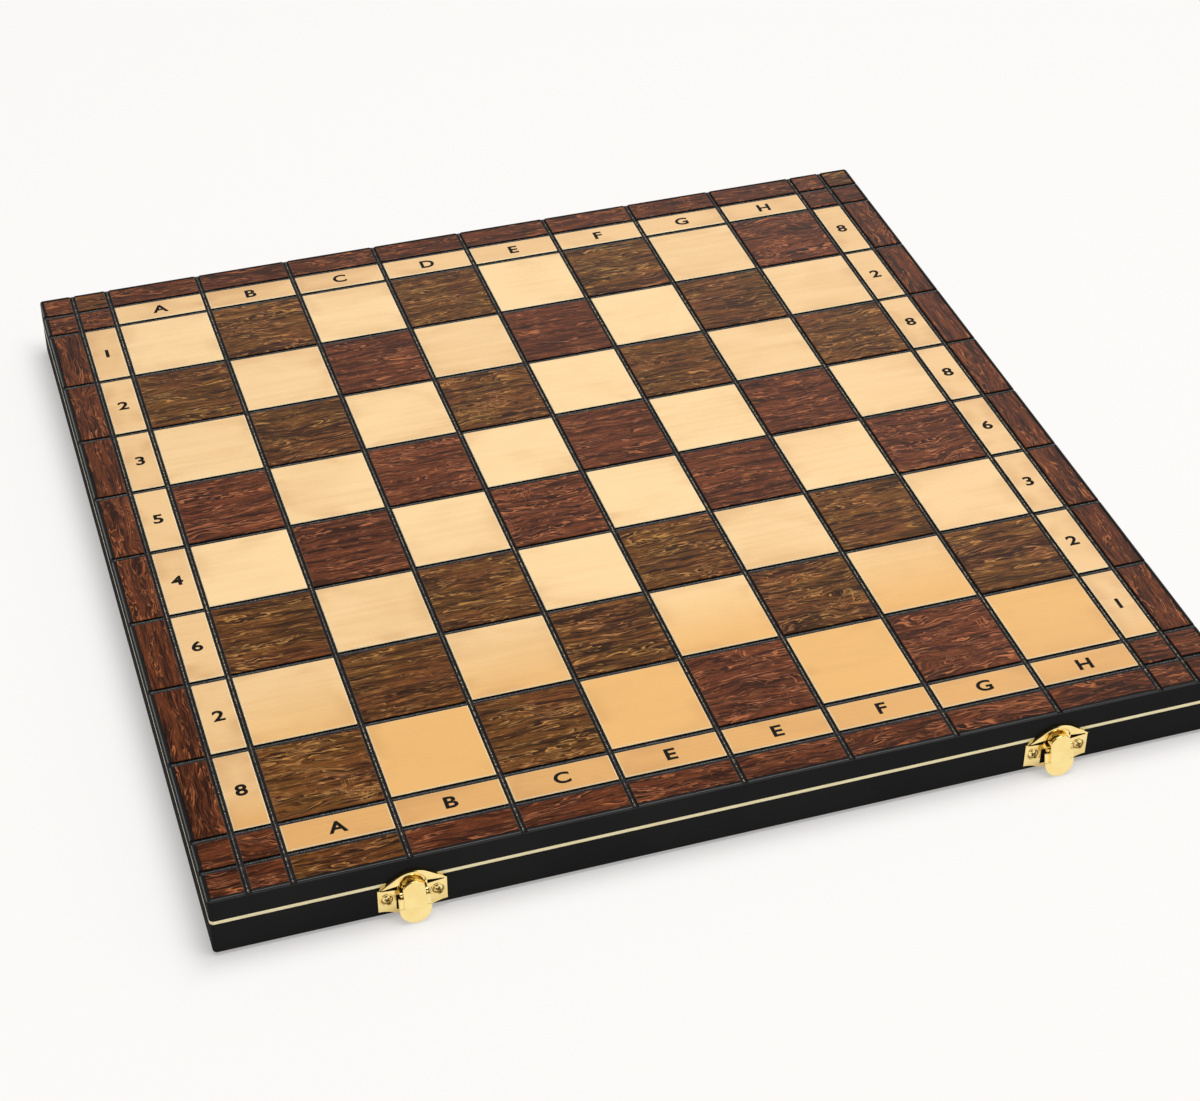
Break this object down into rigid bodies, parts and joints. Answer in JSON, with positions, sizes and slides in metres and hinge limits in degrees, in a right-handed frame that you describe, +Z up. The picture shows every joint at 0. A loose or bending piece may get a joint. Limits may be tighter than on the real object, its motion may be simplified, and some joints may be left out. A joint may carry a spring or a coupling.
{
  "type": "folding chess board",
  "caption": "Square folding game board of two shallow half boxes hinged along the middle, with grooved veneer squares, a black frame and snap clasps on one edge.",
  "frame": {"origin": "middle of the base on which the open board stands, under the board's fold line", "axes": "+X to the right along the ranks' squares, +Y from the near edge with the clasps to the far edge, +Z up"},
  "size_m": [0.473, 0.4866, 0.0327],
  "materials": {
    "black_lacquered_wood": "satin black lacquer",
    "birch_plywood": "bare, black in the grooves",
    "bare_beech": "bare",
    "pale_line": "lacquered",
    "felt": "napped",
    "maple_veneer": "satin lacquer",
    "label_veneer": "satin lacquer",
    "burl_veneer": "satin lacquer",
    "spring_steel": "plated",
    "brass": "polished"
  },
  "bodies": {
    "near_half": {"near_panel": "birch_plywood", "near_front_rail": "black_lacquered_wood", "near_left_rail": "black_lacquered_wood", "near_right_rail": "black_lacquered_wood", "near_fold_rail": "black_lacquered_wood", "near_corner_tongues": "bare_beech", "near_fold_dowels": "bare_beech", "near_inlaid_line": "pale_line", "near_lining": "felt", "near_light_squares": "maple_veneer", "near_dark_squares": "burl_veneer", "near_label_tiles": "label_veneer", "near_border_tiles": "burl_veneer", "near_left_hinge_leaf": "brass", "near_right_hinge_leaf": "brass", "near_hinge_screws": "brass", "left_hinge_pin": "brass", "right_hinge_pin": "brass", "left_clasp_plate": "brass", "right_clasp_plate": "brass", "left_clasp_pin": "brass", "right_clasp_pin": "brass", "left_clasp_spring": "spring_steel", "right_clasp_spring": "spring_steel", "clasp_screws": "brass"},
    "far_half": {"far_panel": "birch_plywood", "far_back_rail": "black_lacquered_wood", "far_left_rail": "black_lacquered_wood", "far_right_rail": "black_lacquered_wood", "far_fold_rail": "black_lacquered_wood", "far_corner_tongues": "bare_beech", "far_fold_dowels": "bare_beech", "far_inlaid_line": "pale_line", "far_lining": "felt", "far_light_squares": "maple_veneer", "far_dark_squares": "burl_veneer", "far_label_tiles": "label_veneer", "far_border_tiles": "burl_veneer", "far_left_hinge_leaf": "brass", "far_right_hinge_leaf": "brass", "far_hinge_screws": "brass", "left_catch_plate": "brass", "right_catch_plate": "brass", "catch_screws": "brass"},
    "left_lever": {"left_clasp_lever": "brass"},
    "right_lever": {"right_clasp_lever": "brass"}
  },
  "joints": [
    {"name": "fold", "type": "hinge", "parent": "near_half", "child": "far_half", "pos_m": [0, 0.00064, 0.0017], "axis": [-1, 0, 0], "range_deg": [0, 180]},
    {"name": "left_clasp", "type": "hinge", "parent": "near_half", "child": "left_lever", "pos_m": [-0.15, -0.23886, 0.0147], "axis": [-1, 0, 0], "range_deg": [0, 10], "stiffness_Nm_per_rad": 0.05, "springref_deg": -5.73, "deforming": ["left_clasp_spring"]},
    {"name": "right_clasp", "type": "hinge", "parent": "near_half", "child": "right_lever", "pos_m": [0.15, -0.23886, 0.0147], "axis": [-1, 0, 0], "range_deg": [0, 10], "stiffness_Nm_per_rad": 0.05, "springref_deg": -5.73, "deforming": ["right_clasp_spring"]}
  ]
}
